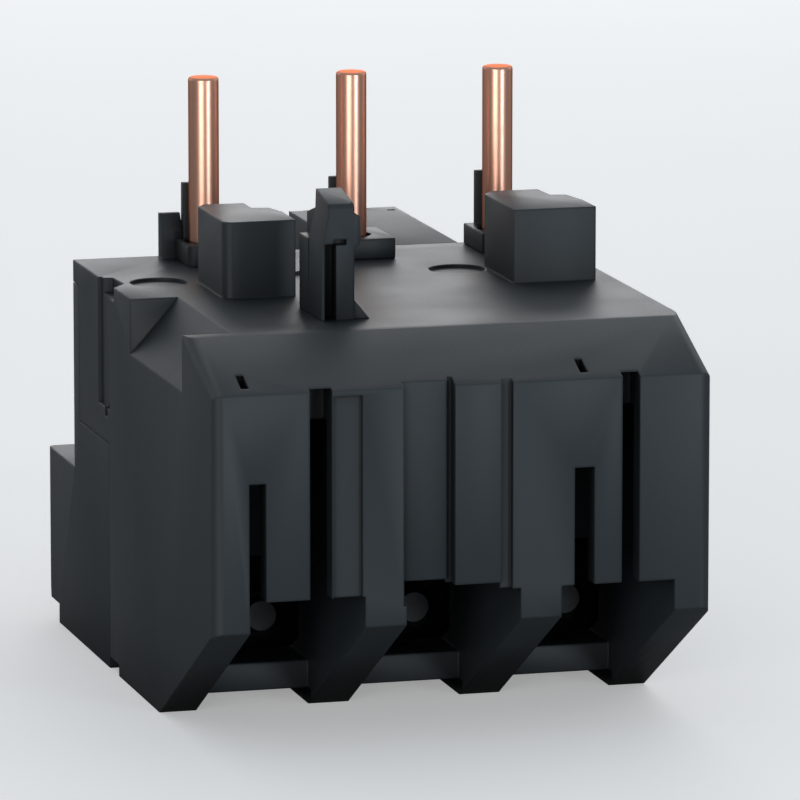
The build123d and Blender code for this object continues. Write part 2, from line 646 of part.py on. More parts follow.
lever_foot = trip_bar_z - 3.0
tip_depth = rocker_depth - 4.6
with BuildPart() as trip_lever:
    with BuildSketch(Plane.XY.offset(lever_foot)):
        plan_outline([(lever_x - 0.6, lever_depth - 7.8), (lever_x + 0.8, lever_depth - 7.8),
                      (lever_x + 1.2, lever_depth - 1.0), (lever_x + 0.9, lever_depth + 1.0),
                      (lever_x - 2.6, tip_depth), (lever_x - 4.0, tip_depth), (lever_x - 1.2, lever_depth),
                      (lever_x - 0.6, lever_depth - 1.0)])
        with Locations((lever_x, y_at(lever_depth))):
            Circle(2.0)
            Circle(pivot_radius + fit_gap, mode=Mode.SUBTRACT)
    extrude(amount=4.0)
    block(lever_x - 5, lever_x + 3, lever_depth + 1.4, tip_depth + 1, lever_foot + 2.4, lever_foot + 5,
          Mode.SUBTRACT)
    block(lever_x - 5, lever_x + 3, lever_depth - 9, lever_depth - 3.5, lever_foot - 1, lever_foot + 2.2,
          Mode.SUBTRACT)
save(trip_lever, "trip_lever")

with BuildPart() as compensator:
    block(lever_x - 3.9, lever_x - 2.5, tip_depth, tip_depth + 0.5, rocker_foot + rocker_height + 0.2,
          lever_foot + 2.4)
    block(lever_x - 3.75, lever_x - 3.3, tip_depth - 1.5, tip_depth + 0.5, rocker_foot + 0.2,
          rocker_foot + rocker_height + 2.2)
save(compensator, "compensator")

# Contact rocker on its pin
with BuildPart() as rocker_pin:
    upright_rod(0, rocker_depth, recess_floor + 0.2, hollow_top, pivot_radius)
save(rocker_pin, "rocker_pin")

with BuildPart() as contact_rocker:
    mid = rocker_depth
    with BuildSketch(Plane.XY.offset(rocker_foot)):
        with Locations((0, y_at(mid))):
            Circle(2.0)
        plan_outline([(0, mid + 0.2), (4.9, mid + 0.2), (4.9, mid + 1.0), (0, mid + 1.5)])
        plan_outline([(0, mid - 1.5), (-4.9, mid - 1.5), (-4.9, mid - 0.8), (0, mid - 0.2)])
        plan_outline([(-0.2, mid), (0.1, mid - 5.3), (1.3, mid - 5.3), (1.5, mid)])
        with Locations((0, y_at(mid))):
            Circle(pivot_radius + fit_gap, mode=Mode.SUBTRACT)
    extrude(amount=rocker_height)
    upright_rod(0, mid, rocker_foot + rocker_height, rocker_foot + rocker_height + 1.4, 2.0)
    upright_rod(0, mid, rocker_foot - 1, rocker_foot + 5, pivot_radius + fit_gap, Mode.SUBTRACT)
save(contact_rocker, "contact_rocker")

# Moving blades and fixed straps of the two auxiliary contacts
stud_radius = 0.9
for side, blade_name, stud_tip in ((1, "closed_contact_blade", contact_depth - 0.75),
                                  (-1, "open_contact_blade", contact_depth - 0.95)):
    with BuildPart() as blade:
        far, near = side * 11.4, side * 4.0
        block(min(far, near), max(far, near), blade_depth, blade_depth + blade_thickness, contact_z - 1.8,
              contact_z + 1.6)
        lying_rod(side * contact_x, blade_depth + blade_thickness, stud_tip, contact_z, stud_radius)
    save(blade, blade_name)

strap_names = {(1, 0): "closed_blade_strap", (1, 1): "closed_fixed_strap",
               (-1, 0): "open_blade_strap", (-1, 1): "open_fixed_strap"}
for (side, row), strap_name in strap_names.items():
    z = aux_z[row]
    end_depth = blade_depth + 0.6 if row == 0 else contact_depth + aux_strap_thickness
    with BuildPart() as aux_strap:
        t = aux_strap_thickness
        outline = [(aux_x + 2.2, aux_back_depth), (aux_run_x - t / 2, aux_back_depth),
                   (aux_run_x - t / 2, end_depth), (aux_run_x + t / 2, end_depth),
                   (aux_run_x + t / 2, aux_back_depth + t), (aux_x + 2.2, aux_back_depth + t)]
        with BuildSketch(Plane.XY.offset(z - aux_strap_half_height)):
            plan_outline([(side * px, d) for px, d in outline])
        extrude(amount=2 * aux_strap_half_height)
        if row == 1:
            run = sorted((side * (aux_run_x + t / 2), side * (contact_x - 1.0)))
            block(run[0], run[1], contact_depth, contact_depth + t, z - aux_strap_half_height,
                  z + aux_strap_half_height)
            tab = sorted((side * (contact_x - 1.0), side * (contact_x + 1.2)))
            block(tab[0], tab[1], contact_depth, contact_depth + t, contact_z - 1.6, z)
            if side == 1:
                lying_rod(side * contact_x, contact_depth - 0.6, contact_depth, contact_z, stud_radius + 0.2)
        lying_rod(side * aux_x, aux_back_depth - 1, aux_back_depth + 2, z, aux_screw_radius + fit_gap,
                  Mode.SUBTRACT)
    save(aux_strap, strap_name)

# Auxiliary washers and screws
aux_number = 0
for side in (1, -1):
    for z in aux_z:
        aux_number += 1
        x = side * aux_x
        washer_back = aux_back_depth + aux_strap_thickness + part_gap
        with BuildPart() as washer:
            with BuildSketch(Plane.XZ.offset(-y_at(washer_back))):
                with Locations((x, z)):
                    Rectangle(2 * aux_washer_half, 2 * aux_washer_half)
                    Circle(aux_screw_radius + fit_gap, mode=Mode.SUBTRACT)
            extrude(amount=aux_washer_thickness)
        save(washer, f"aux_washer_{aux_number}")
        with BuildPart() as aux_screw:
            head_back = washer_back + aux_washer_thickness + 0.05
            lying_rod(x, aux_back_depth - 3.3, head_back, z, aux_screw_radius)
            lying_rod(x, head_back, head_back + aux_head_height, z, aux_head_radius)
            slot = aux_head_radius - 0.7
            block(x - 0.35, x + 0.35, head_back + 0.8, head_back + 3, z - slot, z + slot, Mode.SUBTRACT)
            block(x - slot, x + slot, head_back + 0.8, head_back + 3, z - 0.35, z + 0.35, Mode.SUBTRACT)
        save(aux_screw, f"aux_screw_{aux_number}")

# Mechanism frame behind the face, with guides for the buttons
with BuildPart() as mechanism_frame:
    inner = control_inner - fit_gap
    block(-inner, inner, frame_depth, frame_front, recess_floor + 0.2 + fit_gap, hollow_top - fit_gap)
    for x, radius in ((reset_x, reset_stem_radius), (stop_x, stop_stem_radius)):
        lying_rod(x, frame_depth - 1, frame_front + 1, button_z, radius + 0.1, Mode.SUBTRACT)
        lying_rod(x, frame_depth + 1.0, frame_front + 1, button_z, 2.2, Mode.SUBTRACT)
    lying_rod(stop_x, frame_depth - 1, frame_front + 1, test_z, test_stem_radius + 0.1, Mode.SUBTRACT)
    lying_rod(adjust_x, frame_front - 0.5, face_back - part_gap, adjust_z, hinge_radius)
    block(dial_x - 3.9, dial_x + 4.6, frame_depth - 1, frame_front + 1, dial_z - 2.1, dial_z + 3.4, Mode.SUBTRACT)
save(mechanism_frame, "mechanism_frame")

# Setting dial with its spiral cam, and the lever that follows the cam
with BuildPart() as dial:
    lying_rod(dial_x, face_depth + part_gap, dial_front, dial_z, dial_radius)
    chamfer(dial.edges().sort_by(Axis.Y)[0], 0.3)
    lying_rod(dial_x, cam_depth - 1.5, face_depth + part_gap, dial_z, dial_shaft_radius)
    cam_steps = 20
    with BuildSketch(Plane.XZ.offset(-y_at(cam_depth))):
        with BuildLine():
            spiral = []
            for step in range(cam_steps + 1):
                sweep = cam_sweep * (step / cam_steps - 0.5)
                reach = cam_base + cam_rise * step / cam_steps
                angle = math.radians(-90 - sweep)
                spiral.append((dial_x + reach * math.cos(angle), dial_z + reach * math.sin(angle)))
            Polyline(spiral, close=True)
        make_face()
    extrude(amount=cam_thickness)
    slot = dial_radius - 1.2
    block(dial_x - 0.45, dial_x + 0.45, dial_front - 0.7, dial_front + 1, dial_z - slot, dial_z + slot,
          Mode.SUBTRACT)
save(dial, "dial")

with BuildPart() as adjusting_lever:
    cam_foot = dial_z - cam_base - cam_rise / 2 - part_gap
    with BuildSketch(Plane.XZ.offset(-y_at(cam_depth + 0.3))):
        with Locations((adjust_x, adjust_z)):
            Circle(1.4)
        with BuildLine():
            Polyline([(adjust_x, adjust_z + 1.2), (dial_x + 1.0, cam_foot - 0.5), (dial_x, cam_foot),
                      (dial_x - 0.8, cam_foot - 0.4), (dial_x - 0.8, cam_foot - 1.2),
                      (dial_x + 1.0, cam_foot - 1.5), (adjust_x, adjust_z - 0.8)], close=True)
        make_face()
        with Locations((adjust_x, adjust_z)):
            Circle(0.6 + fit_gap, mode=Mode.SUBTRACT)
    extrude(amount=1.4)
save(adjusting_lever, "adjusting_lever")

# Reset plunger with its turning button, stop and test buttons, return springs
with BuildPart() as reset_plunger:
    lying_rod(reset_x, frame_depth + 0.7, face_depth, button_z, reset_stem_radius)
    lying_rod(reset_x, collar_back, collar_back + 1.4, button_z, reset_radius + 0.55)
save(reset_plunger, "reset_plunger")

with BuildPart() as reset_button:
    lying_rod(reset_x, collar_back + 1.7, button_front, button_z, reset_radius)
    slot = reset_radius - 0.75
    block(reset_x - 0.4, reset_x + 0.4, button_front - 0.8, button_front + 1, button_z - slot, button_z + slot,
          Mode.SUBTRACT)
    lying_rod(reset_x, collar_back, face_depth + part_gap, button_z, reset_stem_radius + fit_gap, Mode.SUBTRACT)
save(reset_button, "reset_button")

with BuildPart() as stop_button:
    block(stop_x - stop_half, stop_x + stop_half, collar_back + 1.6, button_front, button_z - stop_half,
          button_z + stop_half)
    chamfer(stop_button.faces().sort_by(Axis.Y)[0].edges(), 0.3)
    collar = stop_half + 0.5
    block(stop_x - collar, stop_x + collar, collar_back + 0.2, collar_back + 1.7, button_z - collar,
          button_z + collar)
    lying_rod(stop_x, frame_depth + press, collar_back + 0.2, button_z, stop_stem_radius)
save(stop_button, "stop_button")

with BuildPart() as test_button:
    lying_rod(stop_x, frame_front + press, button_front - 0.9, test_z, test_radius)
    collar = test_radius + 0.5
    block(stop_x - collar, stop_x + collar, collar_back + 0.2, collar_back + 1.7, test_z - collar, test_z + collar)
    lying_rod(stop_x, frame_depth + 1.8, frame_front + press, test_z, test_stem_radius)
    block(stop_x - 0.3, stop_x + 0.3, button_front - 1.5, button_front, test_z - 0.8, test_z + 0.8, Mode.SUBTRACT)
save(test_button, "test_button")

for name, x, front, inner_radius in (("reset_spring", reset_x, collar_back, reset_stem_radius + 0.1),
                                     ("stop_spring", stop_x, collar_back + 0.2, stop_stem_radius + 0.1)):
    with BuildPart() as spring:
        coils = 4
        wire = 0.5
        back = frame_front - 0.6
        step = (front - back - wire) / (coils - 1)
        for coil in range(coils):
            with BuildSketch(Plane.XZ.offset(-y_at(back + coil * step))):
                with Locations((x, button_z)):
                    RegularPolygon(inner_radius + wire, 8)
                    RegularPolygon(inner_radius + 0.15, 8, mode=Mode.SUBTRACT)
            extrude(amount=wire)
        for coil in range(coils - 1):
            tie = 1 if coil % 2 else -1
            with Locations((x + tie * (inner_radius + wire / 2), y_at(back + (coil + 0.5) * step + wire / 2),
                            button_z)):
                Box(wire - 0.2, step, wire)
    save(spring, name)

# Trip flag behind its window
with BuildPart() as trip_flag:
    flag_back = face_back - 1.2
    block(0.7, 4.3, flag_back, flag_back + 0.8, flag_z - 1.2, flag_z + 1.2)
    block(1.3, 2.1, frame_front + 0.4, flag_back, flag_z - 0.9, flag_z - 0.2)
save(trip_flag, "trip_flag")
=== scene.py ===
"""Studio scene of a plug-in thermal overload relay, seen from its ribbed rear side.

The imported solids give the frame. This script dresses them: mouldings and strips get softened
edges, the pins, screws and springs get their fine shapes, the dial gets its numbers, and every
surface gets a procedural finish.
"""

import json
import logging
import math
from dataclasses import dataclass, field
from enum import Enum
from typing import Any, Iterable, Sequence

import bmesh
import bpy
from mathutils import Matrix, Vector

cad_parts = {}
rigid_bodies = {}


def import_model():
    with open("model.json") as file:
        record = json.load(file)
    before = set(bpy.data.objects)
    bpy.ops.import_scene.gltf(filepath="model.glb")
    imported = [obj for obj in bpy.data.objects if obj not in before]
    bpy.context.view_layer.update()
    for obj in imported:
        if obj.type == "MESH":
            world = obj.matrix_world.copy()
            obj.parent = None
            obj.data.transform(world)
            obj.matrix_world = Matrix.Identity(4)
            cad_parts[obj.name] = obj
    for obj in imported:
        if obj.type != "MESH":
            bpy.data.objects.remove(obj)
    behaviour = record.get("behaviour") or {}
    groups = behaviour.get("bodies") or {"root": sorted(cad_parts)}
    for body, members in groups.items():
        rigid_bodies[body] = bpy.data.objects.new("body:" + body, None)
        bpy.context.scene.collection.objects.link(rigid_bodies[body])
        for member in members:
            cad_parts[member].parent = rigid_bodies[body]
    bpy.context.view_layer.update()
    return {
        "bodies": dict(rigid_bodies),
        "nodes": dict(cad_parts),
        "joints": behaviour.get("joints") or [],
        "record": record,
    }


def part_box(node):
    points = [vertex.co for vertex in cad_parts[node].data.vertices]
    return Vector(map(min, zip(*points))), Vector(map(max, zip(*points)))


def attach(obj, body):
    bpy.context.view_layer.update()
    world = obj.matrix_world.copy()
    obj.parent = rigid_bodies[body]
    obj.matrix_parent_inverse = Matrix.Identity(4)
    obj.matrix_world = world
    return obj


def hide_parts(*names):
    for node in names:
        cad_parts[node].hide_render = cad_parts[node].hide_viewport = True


log = logging.getLogger("relay")

MM = 0.001
WHITE = (1.0, 1.0, 1.0, 1.0)
Colour = tuple[float, float, float]
Triple = tuple[float, float, float]
Outline = Sequence[tuple[float, float]]


class Axis(Enum):
    """Directions that pieces are turned about, as unit vectors of the shared frame."""

    X = (1.0, 0.0, 0.0)
    Y = (0.0, 1.0, 0.0)
    Z = (0.0, 0.0, 1.0)


@dataclass(frozen=True)
class EdgeBreak:
    """How the edges of a piece are rounded, in millimetres and degrees."""

    radius: float
    shortest: float = 0.5
    angle: float = 35.0
    segments: int = 2


class Signal:
    """A shader output that takes part in ordinary arithmetic."""

    def __init__(self, bench: "Bench", socket: bpy.types.NodeSocket) -> None:
        """Keep the bench that makes new nodes and the wrapped socket."""
        self.bench = bench
        self.socket = socket

    def _math(self, operation: str, first: Any, second: Any) -> "Signal":
        """Add one Math node.

        Args:
            operation: Name of the Math operation.
            first: Left value, a number or a signal.
            second: Right value, a number or a signal.

        Returns:
            The node's value.
        """
        return self.bench.node("ShaderNodeMath", {"operation": operation}, {0: first, 1: second})

    def __add__(self, other: Any) -> "Signal":
        """Return self + other."""
        return self._math("ADD", self, other)

    def __sub__(self, other: Any) -> "Signal":
        """Return self - other."""
        return self._math("SUBTRACT", self, other)

    def __mul__(self, other: Any) -> "Signal":
        """Return self * other."""
        return self._math("MULTIPLY", self, other)

    def __pow__(self, other: Any) -> "Signal":
        """Return self raised to other."""
        return self._math("POWER", self, other)

    def at_least(self, other: Any) -> "Signal":
        """Return the larger of self and other."""
        return self._math("MAXIMUM", self, other)


class Bench:
    """Makes the nodes of one material or world."""

    def __init__(self, owner: bpy.types.Material | bpy.types.World) -> None:
        """Start with an empty node tree.

        Args:
            owner: The new material or world.
        """
        self.owner = owner
        owner.use_nodes = True
        self.tree = owner.node_tree
        self.tree.nodes.clear()

    @classmethod
    def for_material(cls, name: str) -> "Bench":
        """Return a bench for a new material."""
        return cls(bpy.data.materials.new(name))

    def node(self, kind: str, settings: dict[str, Any] | None = None,
             sockets: dict[Any, Any] | None = None, output: int | str = 0) -> Signal:
        """Add any node, set it up and feed its sockets.

        Args:
            kind: Node type.
            settings: Node properties, set first. "stops" fills a colour ramp.
            sockets: Values or signals by socket name or number.
            output: Which output to return.

        Returns:
            The chosen output.
        """
        made = self.tree.nodes.new(kind)
        for key, value in (settings or {}).items():
            if key == "stops":
                for element, (position, shade) in zip(made.color_ramp.elements, value):
                    element.position = position
                    element.color = (*shade, 1.0)
            else:
                setattr(made, key, value)
        for key, value in (sockets or {}).items():
            socket = made.inputs[key]
            if isinstance(value, Signal):
                self.tree.links.new(value.socket, socket)
            else:
                socket.default_value = value
        return Signal(self, made.outputs[output])

    def place(self, scale: Triple = (1.0, 1.0, 1.0)) -> Signal:
        """Return object coordinates, stretched by scale."""
        coordinates = self.node("ShaderNodeTexCoord", output="Object")
        return self.node("ShaderNodeMapping", None, {"Vector": coordinates, "Scale": scale})

    def noise(self, place: Signal, scale: float, detail: float = 3.0,
              roughness: float = 0.5) -> Signal:
        """Return a noise value around 0.5 at the given scale per metre."""
        return self.node("ShaderNodeTexNoise", None, {
            "Vector": place, "Scale": scale, "Detail": detail, "Roughness": roughness}, "Fac")

    def blend(self, share: Any, first: Colour, second: Colour) -> Signal:
        """Return a colour between first and second, from the Mix node's colour sockets."""
        return self.node("ShaderNodeMix", {"data_type": "RGBA"},
                         {0: share, 6: (*first, 1.0), 7: (*second, 1.0)}, 2)

    def paint_recess_shade(self, paint: Signal, reach: float, power: float) -> Signal:
        """Paint shade into a colour in recesses, by an Ambient Occlusion node.

        Args:
            paint: The colour on open surfaces.
            reach: Size of the recesses that count, in metres.
            power: How strong the painted shade is.

        Returns:
            The darker colour.
        """
        openness = self.node("ShaderNodeAmbientOcclusion", {"samples": 6}, {"Distance": reach},
                             "AO")
        return self.node("ShaderNodeVectorMath", {"operation": "SCALE"},
                         {0: paint, "Scale": openness ** power})

    def split(self, vector: Signal) -> list[Signal]:
        """Return the three parts of a vector."""
        parts = self.node("ShaderNodeSeparateXYZ", None, {0: vector}).socket.node.outputs
        return [Signal(self, part) for part in parts]

    def close(self, shader: Signal, output: str = "ShaderNodeOutputMaterial"
              ) -> bpy.types.Material | bpy.types.World:
        """Join the shader to the output and return the material or world."""
        end = self.tree.nodes.new(output)
        self.tree.links.new(shader.socket, end.inputs["Surface"])
        return self.owner


@dataclass(frozen=True)
class MouldedFinish:
    """Moulded plastic with a spark-eroded grain and faint flow marks, with painted shade in
    recesses.
    """

    name: str
    colour: Colour
    drift: float = 0.12
    roughness: float = 0.5
    recess_shade: float = 1.1
    recess_shade_reach: float = 0.007
    flow_scale: float = 90.0
    flow_stretch: Triple = (1.0, 1.0, 0.35)
    flow_share: float = 0.7
    flow_sheen: float = 0.16
    flow_height: float = 0.4
    grain_scale: float = 5200.0
    grain_depth: float = 0.000012
    grain_strength: float = 0.35
    grain_sheen: float = 0.1
    speck_size: float = 0.45
    speck_share: float = 0.3
    edge_radius: float = 0.0003
    specular: float = 0.4

    def make(self) -> bpy.types.Material:
        """Build the material and return it."""
        bench = Bench.for_material(self.name)
        place = bench.place()
        flow = bench.noise(bench.place(self.flow_stretch), self.flow_scale, 4.0, 0.6)
        grain = bench.noise(place, self.grain_scale, 2.0, 0.6)
        speck = bench.noise(place, self.grain_scale * self.speck_size, 1.0)
        light = tuple(min(1.0, part * (1.0 + self.drift)) for part in self.colour)
        dark = tuple(part * (1.0 - self.drift) for part in self.colour)
        paint = bench.blend(flow * self.flow_share + speck * self.speck_share, dark, light)
        # Painted shade: an Ambient Occlusion node makes the colour darker in recesses.
        if self.recess_shade:
            paint = bench.paint_recess_shade(paint, self.recess_shade_reach, self.recess_shade)
        sheen = (flow - 0.5) * self.flow_sheen + (grain - 0.5) * self.grain_sheen + self.roughness
        rounded = bench.node("ShaderNodeBevel", {"samples": 4}, {"Radius": self.edge_radius},
                             "Normal")
        normal = bench.node("ShaderNodeBump", None, {
            "Strength": self.grain_strength, "Distance": self.grain_depth,
            "Height": grain + flow * self.flow_height, "Normal": rounded}, "Normal")
        return bench.close(bench.node("ShaderNodeBsdfPrincipled", None, {
            "Base Color": paint, "Roughness": sheen, "Normal": normal,
            "Specular IOR Level": self.specular}))


@dataclass(frozen=True)
class MetalFinish:
    """Drawn, rolled or plated metal with fine lines along one direction, light tarnish and painted
    shade in recesses.
    """

    name: str
    colour: Colour
    tarnish: Colour
    roughness: float = 0.24
    lines: Triple = (1.0, 1.0, 0.02)
    line_scale: float = 9000.0
    line_depth: float = 0.000004
    line_strength: float = 0.3
    line_sheen: float = 0.1
    cloud_scale: float = 420.0
    cloud_sheen: float = 0.12
    tarnish_start: float = 0.42
    tarnish_gain: float = 5.0
    tarnish_share: float = 0.25
    recess_shade: float = 1.2
    recess_shade_reach: float = 0.009
    edge_tint: Colour = (1.0, 1.0, 1.0)

    def make(self) -> bpy.types.Material:
        """Build the material and return it."""
        bench = Bench.for_material(self.name)
        drawn = bench.noise(bench.place(self.lines), self.line_scale, 3.0, 0.6)
        cloud = bench.noise(bench.place(), self.cloud_scale, 4.0, 0.62)
        share = (cloud - self.tarnish_start).at_least(0.0)
        paint = bench.blend(share * (self.tarnish_share * self.tarnish_gain), self.colour,
                            self.tarnish)
        # Painted shade: an Ambient Occlusion node makes the colour darker in recesses.
        paint = bench.paint_recess_shade(paint, self.recess_shade_reach, self.recess_shade)
        sheen = (drawn - 0.5) * self.line_sheen + (cloud - 0.5) * self.cloud_sheen + self.roughness
        normal = bench.node("ShaderNodeBump", None, {
            "Strength": self.line_strength, "Distance": self.line_depth, "Height": drawn}, "Normal")
        return bench.close(bench.node("ShaderNodeBsdfPrincipled", None, {
            "Base Color": paint, "Roughness": sheen, "Metallic": 1.0, "Normal": normal,
            "Specular Tint": (*self.edge_tint, 1.0)}))


@dataclass(frozen=True)
class ClearFinish:
    """Clear moulded cover with a faint tint and slightly uneven gloss."""

    name: str
    colour: Colour
    shade: float = 0.92
    wave_scale: float = 260.0
    roughness: float = 0.03
    roughness_drift: float = 0.08
    opacity: float = 0.05
    opacity_drift: float = 0.03

    def make(self) -> bpy.types.Material:
        """Build the material and return it."""
        bench = Bench.for_material(self.name)
        wave = bench.noise(bench.place(), self.wave_scale, 3.0)
        paint = bench.blend(wave, self.colour, tuple(part * self.shade for part in self.colour))
        return bench.close(bench.node("ShaderNodeBsdfPrincipled", None, {
            "Base Color": paint, "Roughness": wave * self.roughness_drift + self.roughness,
            "Alpha": wave * self.opacity_drift + self.opacity}))


class Finishes:
    """All finishes of the relay, made once and looked up by the record's slot.

    The finishes behind the clear cover get no painted shade in recesses, because Ambient Occlusion
    counts the cover as an obstacle and would blacken them.
    """

    plans: dict[str, MouldedFinish | MetalFinish | ClearFinish] = {
        "housing_moulding": MouldedFinish("housing_grey", (0.029, 0.037, 0.043)),
        "front_moulding": MouldedFinish("front_grey", (0.028, 0.036, 0.042)),
        "hook_moulding": MouldedFinish("hook_grey", (0.026, 0.033, 0.039)),
        "guide_moulding": MouldedFinish("guide_grey", (0.022, 0.027, 0.032)),
        "pin_copper": MetalFinish(
            "drawn_copper", (0.93, 0.50, 0.36), (0.60, 0.26, 0.17), 0.32, tarnish_share=0.08,
            recess_shade=0.5, edge_tint=(0.45, 0.16, 0.10)),
        "conductor_copper": MetalFinish(
            "strip_copper", (0.78, 0.40, 0.26), (0.42, 0.20, 0.12), 0.32),
        "heater_alloy": MetalFinish(
            "heater_ribbon", (0.42, 0.40, 0.38), (0.20, 0.16, 0.14), 0.38),
        "bimetal": MetalFinish("bimetal_strip", (0.60, 0.56, 0.50), (0.40, 0.34, 0.28), 0.3),
        "contact_brass": MetalFinish(
            "contact_brass", (0.80, 0.62, 0.30), (0.50, 0.36, 0.16), 0.28),
        # Painted shade: the zinc is given a near-black colour and strong painted shade in recesses,
        # so the screws and clamps look shaded in the terminal cells.
        "zinc_steel": MetalFinish(
            "zinc_with_painted_shade", (0.13, 0.135, 0.14), (0.06, 0.06, 0.065), 0.42, (1.0, 0.05, 1.0),
            recess_shade=3.0),
        "mechanism_moulding": MouldedFinish("natural_moulding", (0.62, 0.59, 0.50), 0.06, 0.4),
        "clear_cover": ClearFinish("clear_cover", (0.62, 0.68, 0.70)),
        "dial_moulding": MouldedFinish("dial_white", (0.72, 0.72, 0.69), 0.05, 0.38, recess_shade=0.0),
        "reset_blue": MouldedFinish("reset_blue", (0.03, 0.14, 0.46), 0.08, 0.3, recess_shade=0.0),
        "stop_red": MouldedFinish("stop_red", (0.52, 0.02, 0.02), 0.08, 0.3, recess_shade=0.0),
        "test_moulding": MouldedFinish(
            "test_black", (0.012, 0.013, 0.015), 0.1, 0.4, recess_shade=0.0),
        "flag_orange": MouldedFinish("flag_orange", (0.75, 0.20, 0.02), 0.06, 0.4, recess_shade=0.0),
    }

    def __init__(self) -> None:
        """Make every material."""
        self.made = {slot: plan.make() for slot, plan in self.plans.items()}

    def __getitem__(self, slot: str) -> bpy.types.Material:
        """Return the material of a record slot."""
        return self.made[slot]


def added(name: str, data: bpy.types.ID) -> bpy.types.Object:
    """Return a new object of the data, linked to the scene."""
    item = bpy.data.objects.new(name, data)
    bpy.context.scene.collection.objects.link(item)
    return item


def soften(mesh: bmesh.types.BMesh, edges: EdgeBreak) -> None:
    """Bevel the long convex edges of a mesh.

    Args:
        mesh: The mesh to change.
        edges: Size of the bevels, and which edges get one.
    """
    chosen = []
    for edge in mesh.edges:
        if len(edge.link_faces) != 2 or not edge.is_convex:
            continue
        if edge.calc_length() < edges.shortest * MM:
            continue
        if edge.calc_face_angle(0.0) < math.radians(edges.angle):
            continue
        chosen.append(edge)
    bmesh.ops.bevel(mesh, geom=chosen, offset=edges.radius * MM, offset_type="OFFSET",
                    affect="EDGES", segments=edges.segments, profile=0.5, material=-1,
                    clamp_overlap=True)


class Workshop:
    """Turns bmesh work into pieces that ride on bodies and stand for solids."""

    same_place: float = 0.000002
    flat_angle: float = 0.6

    def __init__(self, frame: dict[str, Any], finishes: Finishes) -> None:
        """Keep the frame and the finishes.

        Args:
            finishes: The materials by slot.
        """
        self.frame = frame
        self.finishes = finishes
        record = frame["record"]
        self.slot_of = {part["node"]: part["material_slot"] for part in record["subparts"]}
        self.body_of = {node: body for body, nodes in record["behaviour"]["bodies"].items()
                        for node in nodes}
        self.replaced: set[str] = set()

    def finish(self, name: str, mesh: bmesh.types.BMesh, slot: str, body: str,
               replaced: Iterable[str] = (), sharp: float = 32.0) -> None:
        """Make an object of a bmesh, dress it and tie it to its body.

        Args:
            name: Name of the piece.
            mesh: The finished bmesh, which is freed here.
            slot: Record slot of its material.
            body: CAD body it rides on.
            replaced: CAD nodes it stands for.
            sharp: Angle in degrees above which an edge stays sharp.
        """
        limit = math.radians(sharp)
        for face in mesh.faces:
            face.smooth = True
        for edge in mesh.edges:
            edge.smooth = len(edge.link_faces) == 2 and edge.calc_face_angle(math.pi) < limit
        data = bpy.data.meshes.new(name)
        mesh.to_mesh(data)
        mesh.free()
        data.materials.append(self.finishes[slot])
        piece = added(name, data)
        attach(piece, body)
        nodes = list(replaced)
        if nodes:
            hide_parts(*nodes)
            self.replaced.update(nodes)
        log.info("%s rides on %s, %d faces", name, body, len(data.polygons))

    def stand_in(self, node: str, suffix: str, mesh: bmesh.types.BMesh) -> None:
        """Put a mesh in the place of one CAD node, with the node's own body and slot.

        Args:
            node: CAD node it stands for.
            suffix: End of the piece's name.
            mesh: The finished bmesh.
        """
        self.finish(f"{node}_{suffix}", mesh, self.slot_of[node], self.body_of[node], [node])

    def soften_node(self, node: str, suffix: str, edges: EdgeBreak) -> None:
        """Put a copy with softened edges in the place of one CAD node.

        Args:
            node: CAD node it stands for.
            suffix: End of the piece's name.
            edges: How its edges are rounded.
        """
        mesh = self.merged(node)
        soften(mesh, edges)
        self.stand_in(node, suffix, mesh)

    def merged(self, node: str) -> bmesh.types.BMesh:
        """Return a merged copy of a CAD node's mesh, with flat regions joined."""
        mesh = bmesh.new()
        mesh.from_mesh(self.frame["nodes"][node].data)
        bmesh.ops.remove_doubles(mesh, verts=mesh.verts, dist=self.same_place)
        bmesh.ops.dissolve_limit(mesh, angle_limit=math.radians(self.flat_angle),
                                 verts=mesh.verts, edges=mesh.edges)
        return mesh

    def dress_rest(self) -> None:
        """Give every CAD node that is still shown the material of its slot."""
        for node, item in self.frame["nodes"].items():
            if node in self.replaced:
                continue
            item.data.materials.clear()
            item.data.materials.append(self.finishes[self.slot_of[node]])


def turned(outline: Outline, centre: Vector, axis: Axis, steps: int) -> bmesh.types.BMesh:
    """Spin an outline into a round piece.

    Args:
        outline: Points as (distance along the axis, radius) in millimetres.
        centre: A point on the axis, in metres.
        axis: Direction of the axis.
        steps: Steps of the spin.

    Returns:
        The closed round mesh.
    """
    mesh = bmesh.new()
    direction = Vector(axis.value)
    side = Vector((0.0, 0.0, 1.0)) if axis is not Axis.Z else Vector((1.0, 0.0, 0.0))
    points = [mesh.verts.new(centre + direction * along * MM + side * reach * MM)
              for along, reach in outline]
    for first, second in zip(points, points[1:]):
        mesh.edges.new((first, second))
    bmesh.ops.spin(mesh, geom=mesh.verts[:] + mesh.edges[:], cent=centre, axis=direction,
                   dvec=(0.0, 0.0, 0.0), angle=math.tau, steps=steps, use_merge=True,
                   use_duplicate=False)
    bmesh.ops.remove_doubles(mesh, verts=mesh.verts, dist=0.000001)
    bmesh.ops.recalc_face_normals(mesh, faces=mesh.faces)
    return mesh


